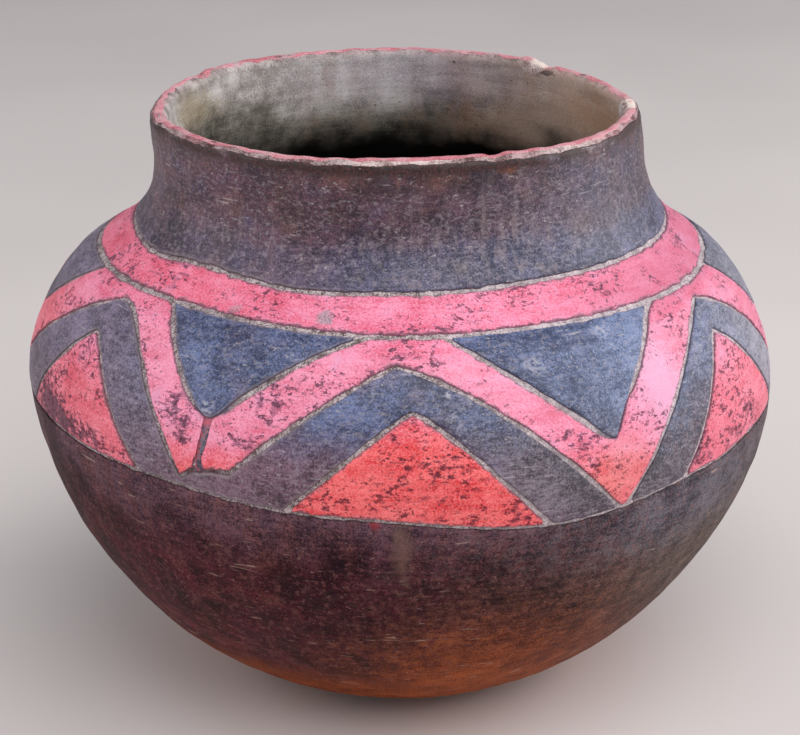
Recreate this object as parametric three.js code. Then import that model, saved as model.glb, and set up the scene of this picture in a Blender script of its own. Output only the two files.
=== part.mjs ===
// A hand-built clay jar: seven courses of clay, luted flat on top of each other, and the slip coats
// that finish it. The incised lines are the bare strips that the coats leave between them.
// Lengths are millimetres, angles are degrees, +Z is up, and the jar stands on the level z = 0.
import * as THREE from 'three';

// Outline of the finished jar, from the rest face up
const footRadius = 48; // flat that the jar stands on
const bellyHeight = 148; // level of the widest ring
const bellyRadius = 170.7;
const shoulderRise = 56.8; // widest ring up to the collar line
const shoulderRadius = 138.5; // outline at the collar line
const collarRise = 13; // collar line up to the neck line
const neckRise = 32.2; // neck line up to the waist of the neck
const neckRadius = 110; // outline at the waist
const lipRise = 19; // waist up to the top of the lip
const lipRadius = 109.6;
const lipThickness = 8;

// Fullness of the outline: slopes above level, and handle lengths as shares of the stretch they bend
const footSlope = 11;
const shoulderSlope = 27;
const footFullness = 0.59;
const lowerFullness = 0.385;
const upperFullness = 0.37;
const shoulderFullness = 0.33;
const neckRootFullness = 0.27;
const neckFullness = 0.65;
const lipFullness = 0.4;

// Clay courses
const wallThickness = 9; // from the finished outside to the inside
const floorThickness = 12; // at the middle of the base bowl
const baseBowlHeight = 42;
const bellyCourseBelow = 52; // belly course below and above the widest ring
const bellyCourseAbove = 14;
const collarCourseBelow = 6; // collar course below the collar line
const lipCoilHeight = 13;

// Slip coats
const coatThickness = 0.8;
const coatGap = 0.7; // clearance between a coat and the clay that carries it
const grooveWidth = 2.8; // incised line
const bareFootHeight = 18; // clay left bare around the foot
const bareLipHeight = 6; // top of the lip down to the neck coat
const lipCoatReach = 75; // how far the lip coat runs down each side of the lip, from its crest
const bluntEnd = 2.5; // height left at the thin end of a painted field

// Drawing on the shoulder: a zigzag with one triangle under each of its peaks
const bayCount = 6;
const firstPeakAzimuth = 1.5; // from -Y, towards +X
const bellyLineDrop = 10; // belly line below the widest ring
const peakWidth = 42; // where a peak of the zigzag meets the collar line
const peakDepth = 8; // red between the collar line and the inner corner of a peak
const tipRise = 2; // belly line up to the tips of the zigzag
const crotchRise = 30; // belly line up to the inner corners of the valleys
const zigzagBow = 1.55; // 1 is straight, more is arched
const triangleWidth = 100;
const triangleDrop = 12; // inner corner of a peak down to the tip of its triangle
const triangleBow = 1.35;

// Fineness of the facets
const turnSegments = 40;
const outlineSteps = 60; // points on each stretch of the outline, before the facets are chosen
const bowlSteps = 6;
const courseSteps = 4;
const collarCourseSteps = 5; // the collar course bends most
const lipSteps = 3;
const crestSteps = 4;
const coatRowHeight = 16;
const bandColumnsPerBay = 16;
const bandRows = 3;
const panelColumnAngle = 3.6;
const panelRows = 4;

// Levels
const collarLine = bellyHeight + shoulderRise;
const neckLine = collarLine + collarRise;
const neckWaist = neckLine + neckRise;
const jarHeight = neckWaist + lipRise;
const bellyLine = bellyHeight - bellyLineDrop;
const peakHeight = collarLine - peakDepth;
const tipHeight = bellyLine + tipRise;
const crotchHeight = bellyLine + crotchRise;
const apexHeight = peakHeight - triangleDrop;
const halfGroove = grooveWidth / 2;
const halfLip = lipThickness / 2;
const lipCentre = new THREE.Vector2(lipRadius - halfLip, jarHeight - halfLip);

// Materials
const firedClay = new THREE.MeshStandardMaterial({ color: 0xa58c7c, roughness: 0.9, metalness: 0 });
const graphiteSlip = new THREE.MeshStandardMaterial({ color: 0x3c3f4c, roughness: 0.45, metalness: 0 });
const ochreSlip = new THREE.MeshStandardMaterial({ color: 0xcf4a50, roughness: 0.6, metalness: 0 });

// Outline of the finished jar as points of radius and height, from the axis to the side of the lip
function drawOutline() {
  const foot = new THREE.Vector2(footRadius, 0);
  const belly = new THREE.Vector2(bellyRadius, bellyHeight);
  const shoulder = new THREE.Vector2(shoulderRadius, collarLine);
  const waist = new THREE.Vector2(neckRadius, neckWaist);
  const lipSide = new THREE.Vector2(lipRadius, lipCentre.y);
  const up = new THREE.Vector2(0, 1);
  const footWay = along(footSlope);
  const shoulderWay = along(180 - shoulderSlope);

  const lowerWall = new THREE.CubicBezierCurve(
    foot,
    foot.clone().addScaledVector(footWay, footFullness * (bellyRadius - footRadius)),
    belly.clone().addScaledVector(up, -lowerFullness * bellyHeight),
    belly,
  );
  const shoulderWall = new THREE.CubicBezierCurve(
    belly,
    belly.clone().addScaledVector(up, upperFullness * shoulderRise),
    shoulder.clone().addScaledVector(shoulderWay, -shoulderFullness * shoulderRise),
    shoulder,
  );
  const neckWall = new THREE.CubicBezierCurve(
    shoulder,
    shoulder.clone().addScaledVector(shoulderWay, neckRootFullness * (shoulderRadius - neckRadius)),
    waist.clone().addScaledVector(up, -neckFullness * (collarRise + neckRise)),
    waist,
  );
  const lipWall = new THREE.CubicBezierCurve(
    waist,
    waist.clone().addScaledVector(up, lipFullness * (lipCentre.y - neckWaist)),
    lipSide.clone().addScaledVector(up, -lipFullness * (lipCentre.y - neckWaist)),
    lipSide,
  );

  const points = [new THREE.Vector2(0, 0)];
  for (const wall of [lowerWall, shoulderWall, neckWall, lipWall]) {
    points.push(...wall.getPoints(outlineSteps).slice(wall === lowerWall ? 0 : 1));
  }
  return points;
}

// Direction at an angle above level, in the plane of the outline
function along(angle) {
  const turn = THREE.MathUtils.degToRad(angle);
  return new THREE.Vector2(Math.cos(turn), Math.sin(turn));
}

// Outline moved inwards, square to itself, by a depth that may change with height
function sinkOutline(depthAt) {
  return outline.map((point, index) => {
    const before = outline[Math.max(index - 1, 0)];
    const after = outline[Math.min(index + 1, outline.length - 1)];
    const way = after.clone().sub(before).normalize();
    const depth = depthAt(point.y);
    const radius = index === 0 ? 0 : point.x - way.y * depth;
    return new THREE.Vector2(radius, point.y + way.x * depth);
  });
}

// Radius of an outline at a height
function radiusAt(line, height) {
  const last = line.length - 1;
  let next = line.findIndex((point, index) => index > 0 && point.y >= height);
  if (next < 0) next = last;
  const low = line[next - 1];
  const high = line[next];
  const share = high.y > low.y ? (height - low.y) / (high.y - low.y) : 1;
  return THREE.MathUtils.lerp(low.x, high.x, THREE.MathUtils.clamp(share, 0, 1));
}

// Points of an outline between two heights, a number of even steps along it
function stretch(line, low, high, steps) {
  const inner = line.filter((point) => point.y > low && point.y < high);
  const start = new THREE.Vector2(radiusAt(line, low), low);
  const end = new THREE.Vector2(radiusAt(line, high), high);
  return evenSteps([start, ...inner, end], steps);
}

// A run of points set again at even steps along its length
function evenSteps(run, steps) {
  const reach = [0];
  for (let index = 1; index < run.length; index += 1) {
    reach.push(reach[index - 1] + run[index].distanceTo(run[index - 1]));
  }
  const points = [run[0]];
  for (let step = 1; step < steps; step += 1) {
    const goal = (reach[reach.length - 1] * step) / steps;
    const next = reach.findIndex((length) => length >= goal);
    const share = (goal - reach[next - 1]) / (reach[next] - reach[next - 1]);
    points.push(run[next - 1].clone().lerp(run[next], share));
  }
  points.push(run[run.length - 1]);
  return points;
}

const outline = drawOutline();
const coatBack = sinkOutline(() => coatThickness);
const clayFace = sinkOutline((height) => {
  return (coatThickness + coatGap) * THREE.MathUtils.clamp(height / bareFootHeight, 0, 1);
});
const clayBack = sinkOutline((height) => {
  const bowlShare = THREE.MathUtils.clamp(1 - height / baseBowlHeight, 0, 1);
  return THREE.MathUtils.lerp(wallThickness, floorThickness, bowlShare);
});

const jar = new THREE.Group();
jar.name = 'clay_jar';

// One piece of the jar, from geometry that already stands in place
function addPiece(name, geometry, material) {
  const piece = new THREE.Mesh(geometry, material);
  piece.name = name;
  jar.add(piece);
}

// A section turned once around the axis, with +Y of the section becoming +Z
function turned(section) {
  return new THREE.LatheGeometry(section, turnSegments).rotateX(Math.PI / 2);
}

// Clay courses, each resting on the flat top of the one below
function addCourse(name, low, high, steps) {
  const outside = stretch(clayFace, low, high, steps);
  const inside = stretch(clayBack, low, high, steps).reverse();
  addPiece(name, turned([...outside, ...inside, outside[0]]), firedClay);
}

// The base bowl closes on the axis, under and over its floor
function addBaseBowl() {
  const face = clayFace.slice(1).filter((point) => point.y < baseBowlHeight);
  const back = clayBack.filter((point) => point.x > 0 && point.y < baseBowlHeight);
  const faceTop = new THREE.Vector2(radiusAt(clayFace, baseBowlHeight), baseBowlHeight);
  const backTop = new THREE.Vector2(radiusAt(clayBack, baseBowlHeight), baseBowlHeight);
  const underside = evenSteps([...face, faceTop], bowlSteps);
  const floor = evenSteps([...back, backTop], bowlSteps).reverse();
  const section = [clayFace[0], ...underside, ...floor, clayBack[0]];
  addPiece('base_bowl', turned(section), firedClay);
}

const bellyCourseBottom = bellyHeight - bellyCourseBelow;
const bellyCourseTop = bellyHeight + bellyCourseAbove;
const collarCourseBottom = collarLine - collarCourseBelow;
const lipCoilBottom = jarHeight - lipCoilHeight;

addBaseBowl();
addCourse('lower_wall_course', baseBowlHeight, bellyCourseBottom, courseSteps);
addCourse('belly_course', bellyCourseBottom, bellyCourseTop, courseSteps);
addCourse('shoulder_course', bellyCourseTop, collarCourseBottom, courseSteps);
addCourse('collar_course', collarCourseBottom, neckLine, collarCourseSteps);
addCourse('neck_course', neckLine, lipCoilBottom, courseSteps);

// Points on a round around the middle of the lip, from its outside over the crest to its inside
function lipRound(radius, reach) {
  const points = [];
  for (let step = 0; step <= crestSteps; step += 1) {
    const angle = THREE.MathUtils.lerp(90 - reach, 90 + reach, step / crestSteps);
    points.push(lipCentre.clone().addScaledVector(along(angle), radius));
  }
  return points;
}

// The lip coil is rounded over, and flares from the inside of the neck
function addLip() {
  const coilRadius = halfLip - coatThickness - coatGap;
  const outside = stretch(clayFace, lipCoilBottom, lipCentre.y, lipSteps).slice(0, -1);
  const crest = lipRound(coilRadius, 90);
  const throat = new THREE.Vector2(radiusAt(clayBack, lipCoilBottom), lipCoilBottom);
  addPiece('lip_coil', turned([...outside, ...crest, throat, outside[0]]), firedClay);

  const coatTop = lipRound(halfLip, lipCoatReach);
  const coatUnder = lipRound(halfLip - coatThickness, lipCoatReach).reverse();
  addPiece('lip_ochre_coat', turned([...coatTop, ...coatUnder, coatTop[0]]), ochreSlip);
}

addLip();

// Coats that run right round between two levels
function addRingCoat(name, low, high, material) {
  const steps = Math.ceil((high - low) / coatRowHeight) + 1;
  const outside = stretch(outline, low, high, steps);
  const inside = stretch(coatBack, low, high, steps).reverse();
  addPiece(name, turned([...outside, ...inside, outside[0]]), material);
}

addRingCoat('lower_body_graphite_coat', bareFootHeight, bellyLine - halfGroove, graphiteSlip);
addRingCoat('collar_ochre_band', collarLine + halfGroove, neckLine - halfGroove, ochreSlip);
addRingCoat('neck_graphite_coat', neckLine + halfGroove, jarHeight - bareLipHeight, graphiteSlip);

// Lines of the drawing: height of each line at an azimuth
const bayAngle = 360 / bayCount;
const halfBay = bayAngle / 2;
const peakReach = THREE.MathUtils.radToDeg(peakWidth / 2 / shoulderRadius);
const triangleReach = THREE.MathUtils.radToDeg(triangleWidth / 2 / bellyRadius);

// Angle from an azimuth to the nearest peak
function fromPeak(azimuth) {
  const turns = (azimuth - firstPeakAzimuth) / bayAngle;
  return Math.abs(turns - Math.round(turns)) * bayAngle;
}

function zigzagLowerLine(azimuth) {
  const share = fromPeak(azimuth) / halfBay;
  return THREE.MathUtils.lerp(peakHeight, tipHeight, share ** zigzagBow);
}

function zigzagUpperLine(azimuth) {
  const share = Math.max(fromPeak(azimuth) - peakReach, 0) / (halfBay - peakReach);
  return THREE.MathUtils.lerp(collarLine, crotchHeight, share ** zigzagBow);
}

function triangleLine(azimuth) {
  const share = fromPeak(azimuth) / triangleReach;
  return THREE.MathUtils.lerp(apexHeight, bellyLine, share ** triangleBow);
}

// Height from the middle of a slanting line to the edge of the coat beside it
function clearOf(line, azimuth) {
  const probe = 0.5;
  const rise = line(azimuth + probe) - line(azimuth - probe);
  const run = THREE.MathUtils.degToRad(2 * probe) * bellyRadius;
  return halfGroove * Math.hypot(1, rise / run);
}

// Painted fields between the lines: lowest and highest level at an azimuth
const fieldFloor = bellyLine + halfGroove;
const fieldCeiling = collarLine - halfGroove;

const zigzagField = {
  low: (azimuth) => {
    return Math.max(fieldFloor, zigzagLowerLine(azimuth) + clearOf(zigzagLowerLine, azimuth));
  },
  high: (azimuth) => {
    return Math.min(fieldCeiling, zigzagUpperLine(azimuth) - clearOf(zigzagUpperLine, azimuth));
  },
};
const triangleField = {
  low: () => fieldFloor,
  high: (azimuth) => triangleLine(azimuth) - clearOf(triangleLine, azimuth),
};
const upperField = {
  low: (azimuth) => zigzagUpperLine(azimuth) + clearOf(zigzagUpperLine, azimuth),
  high: () => fieldCeiling,
};
const lowerField = {
  low: (azimuth) => Math.max(fieldFloor, triangleLine(azimuth) + clearOf(triangleLine, azimuth)),
  high: (azimuth) => zigzagLowerLine(azimuth) - clearOf(zigzagLowerLine, azimuth),
};

// Point of a field on the outside of its coat, or on its back
function fieldPoint(field, azimuth, share, isOutside) {
  const height = THREE.MathUtils.lerp(field.low(azimuth), field.high(azimuth), share);
  const radius = radiusAt(isOutside ? outline : coatBack, height);
  const turn = THREE.MathUtils.degToRad(azimuth);
  return new THREE.Vector3(radius * Math.sin(turn), -radius * Math.cos(turn), height);
}

// The zigzag is one unbroken band: a turned rectangle, with each of its columns fitted to the field
function addZigzag() {
  const columns = bayCount * bandColumnsPerBay;
  const backRadius = 1;
  const faceRadius = 2;
  const section = [];
  for (let row = 0; row <= bandRows; row += 1) {
    section.push(new THREE.Vector2(faceRadius, row / bandRows));
  }
  for (let row = bandRows; row >= 0; row -= 1) {
    section.push(new THREE.Vector2(backRadius, row / bandRows));
  }
  section.push(section[0]);
  const geometry = new THREE.LatheGeometry(section, columns);
  const place = geometry.attributes.position;
  const ring = section.length;
  for (let index = 0; index < place.count; index += 1) {
    const column = Math.floor(index / ring) % columns;
    const corner = section[index % ring];
    const azimuth = firstPeakAzimuth + (column * 360) / columns;
    const point = fieldPoint(zigzagField, azimuth, corner.y, corner.x === faceRadius);
    place.setXYZ(index, point.x, point.y, point.z);
  }
  geometry.computeVertexNormals();
  addPiece('zigzag_ochre_band', geometry, ochreSlip);
}

addZigzag();

// Angle from the middle of a field to its thin end
function fieldReach(field, middle) {
  const step = 0.1;
  let reach = 0;
  const heightAt = (angle) => field.high(middle + angle) - field.low(middle + angle);
  while (heightAt(reach + step) > bluntEnd) reach += step;
  return reach;
}

// A field of one bay: a flat block, bent onto the jar between the field's levels
function addFieldPanel(name, field, middle, material) {
  const reach = fieldReach(field, middle);
  const columns = 2 * Math.ceil(reach / panelColumnAngle);
  const geometry = new THREE.BoxGeometry(1, 1, 1, columns, panelRows, 1);
  const place = geometry.attributes.position;
  for (let index = 0; index < place.count; index += 1) {
    const azimuth = middle + 2 * reach * place.getX(index);
    const point = fieldPoint(field, azimuth, place.getY(index) + 0.5, place.getZ(index) > 0);
    place.setXYZ(index, point.x, point.y, point.z);
  }
  geometry.computeVertexNormals();
  addPiece(name, geometry, material);
}

for (let bay = 1; bay <= bayCount; bay += 1) {
  const peak = firstPeakAzimuth + (bay - 1) * bayAngle;
  const valley = peak + halfBay;
  addFieldPanel(`triangle_ochre_panel_${bay}`, triangleField, peak, ochreSlip);
  addFieldPanel(`lower_graphite_panel_${bay}`, lowerField, peak, graphiteSlip);
  addFieldPanel(`upper_graphite_panel_${bay}`, upperField, valley, graphiteSlip);
}

export default jar;
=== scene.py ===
# A round clay jar, built up by hand and painted with graphite slip and red ochre slip.
# Lengths are metres, and azimuths are degrees from the front (-Y) towards +X.
import math
import bpy
import numpy as np
from mathutils import Matrix, Vector


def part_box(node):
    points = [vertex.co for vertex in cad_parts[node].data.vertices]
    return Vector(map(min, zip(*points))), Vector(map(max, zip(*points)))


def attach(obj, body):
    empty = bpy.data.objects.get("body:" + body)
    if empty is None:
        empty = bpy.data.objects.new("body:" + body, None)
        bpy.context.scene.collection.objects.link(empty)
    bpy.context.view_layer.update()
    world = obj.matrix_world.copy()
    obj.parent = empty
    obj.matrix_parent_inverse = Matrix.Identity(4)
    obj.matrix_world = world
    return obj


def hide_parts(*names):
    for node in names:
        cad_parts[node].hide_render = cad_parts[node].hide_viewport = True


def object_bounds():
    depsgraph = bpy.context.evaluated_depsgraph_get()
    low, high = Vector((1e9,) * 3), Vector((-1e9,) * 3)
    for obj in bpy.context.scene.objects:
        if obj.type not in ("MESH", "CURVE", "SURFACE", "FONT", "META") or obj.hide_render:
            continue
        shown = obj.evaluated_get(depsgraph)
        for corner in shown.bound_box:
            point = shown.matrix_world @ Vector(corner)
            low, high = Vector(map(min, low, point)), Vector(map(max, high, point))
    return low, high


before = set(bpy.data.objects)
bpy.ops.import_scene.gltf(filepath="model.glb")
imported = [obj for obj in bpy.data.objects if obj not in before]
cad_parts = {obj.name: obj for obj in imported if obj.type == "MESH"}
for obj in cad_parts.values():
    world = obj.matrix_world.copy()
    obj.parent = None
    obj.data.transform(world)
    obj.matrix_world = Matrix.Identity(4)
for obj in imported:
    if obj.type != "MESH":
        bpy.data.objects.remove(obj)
cad_box = [list(corner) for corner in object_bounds()]

# Clay wall: gritty clay that fires grey to orange, built up in seven courses from a pressed bowl.
# Each course is luted to the one below while damp. The outside is scraped even, the inside only wiped,
# and the last coil is rounded over into the lip. The slip coats lie on this wall.
foot_radius = 0.048
belly_radius = 0.1707
shoulder_radius = 0.1385
neck_radius = 0.110
lip_radius = 0.1096
lip_half = 0.004
belly_height = 0.148
collar_line = 0.2048
neck_line = 0.2178
neck_waist = 0.250
jar_height = cad_box[1][2]
wall_thickness = 0.009
floor_thickness = 0.012
bowl_height = 0.042
foot_slope = math.radians(11)
shoulder_slope = math.radians(27)
foot_fullness = 0.59
lower_fullness = 0.385
upper_fullness = 0.37
shoulder_fullness = 0.33
neck_root_fullness = 0.27
neck_fullness = 0.65
lip_fullness = 0.4
groove_width = 0.0021
thin_groove_width = 0.0017
collar_groove_width = 0.0024
neck_groove_width = 0.0017
belly_groove_width = 0.0012
groove_depth = 0.0009
lip_coat_depth = 0.0004
bow_points = 80
crest_points = 40
path_step = 0.0005
same_spot = 1e-7


def bowed(start, start_pull, end_pull, end):
    """Points of one bowed stretch of the outline, with the pull on it at either end."""
    share = np.linspace(0, 1, bow_points)[:, None]
    back = 1 - share
    near = start + start_pull
    far = end + end_pull
    return back**3 * start + 3 * back**2 * share * near + 3 * back * share**2 * far + share**3 * end


foot = np.array((foot_radius, 0))
belly = np.array((belly_radius, belly_height))
shoulder = np.array((shoulder_radius, collar_line))
waist = np.array((neck_radius, neck_waist))
lip_centre = np.array((lip_radius - lip_half, jar_height - lip_half))
lip_side = lip_centre + (lip_half, 0)
lip_inside = lip_centre - (lip_half, 0)
up = np.array((0, 1))
foot_way = np.array((math.cos(foot_slope), math.sin(foot_slope)))
shoulder_way = np.array((-math.cos(shoulder_slope), math.sin(shoulder_slope)))
shoulder_rise = collar_line - belly_height
lip_rise = lip_centre[1] - neck_waist

foot_pull = foot_fullness * (belly_radius - foot_radius) * foot_way
neck_root_pull = neck_root_fullness * (shoulder_radius - neck_radius) * shoulder_way
lip_pull = lip_fullness * lip_rise * up
upper_pull = upper_fullness * shoulder_rise * up
shoulder_pull = shoulder_fullness * shoulder_rise * shoulder_way
outside_line = np.concatenate((
    bowed(foot, foot_pull, -lower_fullness * belly_height * up, belly),
    bowed(belly, upper_pull, -shoulder_pull, shoulder),
    bowed(shoulder, neck_root_pull, -neck_fullness * (neck_waist - collar_line) * up, waist),
    bowed(waist, lip_pull, -lip_pull, lip_side),
))
crest_turn = np.linspace(0, math.pi, crest_points)[:, None]
crest_line = lip_centre + lip_half * np.concatenate((np.cos(crest_turn), np.sin(crest_turn)), 1)

# The inside follows the outside at the wall's thickness, which grows towards the floor
wall_way = np.gradient(outside_line, axis=0)
wall_way /= np.linalg.norm(wall_way, axis=1, keepdims=True) + 0.01 * same_spot
bowl_share = np.clip(1 - outside_line[:, 1:] / bowl_height, 0, 1)
wall_depth = wall_thickness + (floor_thickness - wall_thickness) * bowl_share
inside_line = outside_line + wall_depth * np.stack((-wall_way[:, 1], wall_way[:, 0]), 1)
inside_line = inside_line[outside_line[:, 1] < neck_waist][::-1]
throat_line = bowed(lip_inside, -lip_pull, lip_pull, inside_line[0])

# The whole section as one path: under the foot, up the outside, over the lip and down the inside
section_line = np.concatenate((
    [(0, 0)], outside_line, crest_line, throat_line, inside_line, [(0, floor_thickness)],
))
section_steps = np.linalg.norm(np.diff(section_line, axis=0), axis=1)
section_line = section_line[np.concatenate(([True], section_steps > same_spot))]
section_reach = np.concatenate(([0], np.cumsum(np.linalg.norm(np.diff(section_line, axis=0), axis=1))))
path = np.arange(0, section_reach[-1], path_step)
path_radius = np.interp(path, section_reach, section_line[:, 0])
path_height = np.interp(path, section_reach, section_line[:, 1])
out_radius = np.gradient(path_height, path)
out_height = -np.gradient(path_radius, path)
top_of_path = path[np.argmax(path_height)]
lip_start = top_of_path - lip_half * math.pi / 2
lip_end = top_of_path + lip_half * math.pi / 2
is_outside = (path >= foot_radius) & (path <= lip_start)
is_inside = path >= lip_end


def up_outside(height):
    """How far along the section the outside reaches a height."""
    return np.interp(height, path_height[is_outside], path[is_outside])


def up_inside(height):
    """How far along the section the inside reaches a height."""
    return np.interp(height, path_height[is_inside][::-1], path[is_inside][::-1])


def section_spot(reach, depth):
    """Radius and height of a place on the section, at a depth under its surface."""
    radius = np.interp(reach, path, path_radius) - depth * np.interp(reach, path, out_radius)
    height = np.interp(reach, path, path_height) - depth * np.interp(reach, path, out_height)
    return radius, height


# Swellings of the wall: how far, how many round the jar, how they turn with height, and where they start
swellings = ((0.0006, 2, 6, 0.4), (0.0005, 3, -14, 2.0), (0.00035, 7, 38, 0), (0.0003, 11, -61, 1))
# The neck and the bowl lean to the left, and the belly hangs lower on the right
neck_lean = -0.0037
neck_lean_start = 0.225
bowl_lean = -0.0012
bowl_lean_end = 0.095
belly_tilt = -0.0131
belly_tilt_end = 0.205
fade = 0.05
free_height = 0.04
belly_tilt_full = 0.12
bowl_lean_full = 0.02
neck_lean_power = 1.3
# Waves of the rim: how far, how many round the jar, and where they start
rim_waves = ((0.0007, 2, 1.2), (0.0004, 5, 0.3))
rim_flutter = 0.00025
# Chips of the rim: azimuth, width and depth. A raised one is a lump of clay beside a chip.
rim_chips = (
    (135.5, 0.004, 0.0014), (142, 0.004, -0.0012), (87, 0.006, 0.0016),
    (23, 0.004, 0.0008), (-118, 0.006, 0.0008),
)


def hand_shaped(points):
    """Places of the true outline moved to where the hand left them. Nothing moves on the rest face."""
    x, y, height = points.T
    around = np.arctan2(x, -y)
    free = np.clip(height / free_height, 0, 1) * np.clip(np.hypot(x, y) / fade, 0, 1)
    lip_share = np.clip((height - neck_waist) / (jar_height - neck_waist), 0, 1)
    belly_share = np.clip(height / belly_tilt_full, 0, 1) * np.clip((belly_tilt_end - height) / fade, 0, 1)
    swell = 0
    for amount, turns, twist, start in swellings:
        swell = swell + amount * np.sin(turns * around + twist * height + start)
    neck_share = np.clip((height - neck_lean_start) / (jar_height - neck_lean_start), 0, 1)
    bowl_share = np.clip(height / bowl_lean_full, 0, 1) * np.clip((bowl_lean_end - height) / fade, 0, 1)
    lean = neck_lean * neck_share**neck_lean_power + bowl_lean * bowl_share
    sag = belly_tilt * x * belly_share
    for amount, turns, start in rim_waves:
        sag += lip_share * amount * np.sin(turns * around + start)
    sag += lip_share * rim_flutter * np.sin(17 * around) * np.sin(29 * around + 1)
    for azimuth, width, depth in rim_chips:
        away = (around - math.radians(azimuth) + math.pi) % (2 * math.pi) - math.pi
        sag -= depth * np.exp(-(away * lip_radius / width) ** 4) * np.clip(lip_share * 2 - 1, 0, 1)
    return np.stack((
        x + free * (swell * np.sin(around) + lean),
        y - free * swell * np.cos(around),
        height + free * sag,
    ), 1)


class Wire:
    """One socket of a node tree, so that sums of sockets can be written as sums."""

    def __init__(self, tree, socket):
        self.tree = tree
        self.socket = socket

    def node(self, kind, settings=None, sockets=None, output=0):
        """A new node of this tree: its settings first, then the values or wires of its sockets."""
        made = self.tree.nodes.new(kind)
        for name, value in (settings or {}).items():
            setattr(made, name, value)
        feed(made, sockets or {})
        return Wire(self.tree, made.outputs[output])

    def math(self, operation, first, second=0.0):
        """A sum of two values."""
        return self.node("ShaderNodeMath", {"operation": operation}, {0: first, 1: second})

    def __add__(self, other):
        return self.math("ADD", self, other)

    def __sub__(self, other):
        return self.math("SUBTRACT", self, other)

    def __rsub__(self, other):
        return self.math("SUBTRACT", other, self)

    def __mul__(self, other):
        return self.math("MULTIPLY", self, other)

    def __truediv__(self, other):
        return self.math("DIVIDE", self, other)

    def __pow__(self, other):
        return self.math("POWER", self, other)

    def most(self, other):
        """The larger of two values."""
        return self.math("MAXIMUM", self, other)

    __radd__ = __add__
    __rmul__ = __mul__


def new_finish(name):
    """An empty finish, its shader, and a wire that carries the place on the jar."""
    finish = bpy.data.materials.new(name)
    finish.use_nodes = True
    tree = finish.node_tree
    shader = tree.nodes["Principled BSDF"]
    here = Wire(tree, tree.nodes.new("ShaderNodeTexCoord").outputs["Object"])
    return finish, shader, here


def feed(node, sockets):
    """Set or link the sockets of a node."""
    for name, value in sockets.items():
        if isinstance(value, Wire):
            value.tree.links.new(value.socket, node.inputs[name])
        else:
            node.inputs[name].default_value = value


def tint(red, green, blue):
    """A colour as a painter reads it, 0 to 255, turned into light."""
    shares = [value / 255 for value in (red, green, blue)]
    return [s / 12.92 if s <= 0.04045 else ((s + 0.055) / 1.055) ** 2.4 for s in shares] + [1]


def grain(here, size, detail=2, stretch=(1, 1, 1), roughness=0.5):
    """Cloudy grain, from 0 to 1, of a size and stretched along the axes."""
    spread = here.node("ShaderNodeVectorMath", {"operation": "DIVIDE"}, {0: here, 1: stretch})
    return here.node("ShaderNodeTexNoise", {}, {
        "Vector": spread, "Scale": 1 / size, "Detail": detail, "Roughness": roughness,
    })


def between(value, low, high):
    """0 below low, 1 above high, and a smooth step between them."""
    return value.node("ShaderNodeMapRange", {"interpolation_type": "SMOOTHSTEP"}, {
        "Value": value, "From Min": low, "From Max": high,
    })


def blended(share, first, second):
    """One colour laid over another by a share. A plain colour is given as a painter reads it, 0 to 255."""
    first, second = (colour if isinstance(colour, Wire) else tint(*colour) for colour in (first, second))
    return share.node("ShaderNodeMix", {"data_type": "RGBA"}, {0: share, 6: first, 7: second}, output=2)


def part_of(place, axis):
    """One coordinate of a place: 0 is the distance to the right of the axis, and 2 the height."""
    return place.node("ShaderNodeSeparateXYZ", {}, {0: place}, output=axis)


def layered(colour, layers):
    """A colour with others laid over it in turn: where each lies, how strongly, and its own colour."""
    for where, strength, over in layers:
        colour = blended(where * strength, colour, over)
    return colour


def spots_on(here):
    """What makes the spots of one finish: patches of the wall, 1 inside and 0 outside."""
    height = part_of(here, 2)
    ragged_edge = (grain(here, 0.004, 3) - 0.5) * 1.6 + (grain(here, 0.0012, 2) - 0.5) * 0.9

    def spot(azimuth, level, half_width, half_height, soft):
        """One patch at an azimuth and a level, with a ragged and more or less soft edge."""
        turn = math.radians(azimuth)
        sideways = (math.cos(turn), math.sin(turn), 0)
        outwards = (math.sin(turn), -math.cos(turn), 0)
        dot = {"operation": "DOT_PRODUCT"}
        across = here.node("ShaderNodeVectorMath", dot, {0: here, 1: sideways}, output=1)
        facing = here.node("ShaderNodeVectorMath", dot, {0: here, 1: outwards}, output=1)
        far = ((across / half_width) ** 2 + ((height - level) / half_height) ** 2) ** 0.5
        return between(far + ragged_edge, 1 + soft, 1 - soft) * between(facing, 0, 0.01)

    return spot


def bumpy(height, strength, distance):
    """Surface relief for a shader's normal."""
    return height.node("ShaderNodeBump", {}, {"Height": height, "Strength": strength, "Distance": distance})


def attribute(here, name):
    """A value that is stored on the piece's points."""
    return here.node("ShaderNodeAttribute", {"attribute_name": name}, {}, output=2)


# The drawing has six bays. In each valley of its zigzag, slip is smeared over the bare line.
bay_count = 6
first_peak = 1.5
belly_line = 0.138
peak_level = 0.1968
tip_level = 0.140
crotch_level = 0.168
apex_level = 0.1848
valley_drift = (1.3, -1.0, 0.8, -0.6, 0.7, 0.3)
crotch_lift = (-0.0030, 0.0054, 0.002, -0.002, 0.0075, 0.0036)
crotch_smears = (0.9, 0.4, 0.6, 0.3, 0.5, 0.9)
# Bare patches of the rim, and the worn-through tip: azimuth, level, half width and half height
rim_patches = ((88, 0.2630, 0.011, 0.008), (141, 0.2665, 0.006, 0.004))
split = (-28.6, 0.1605, 0.0032, 0.0130)

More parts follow.
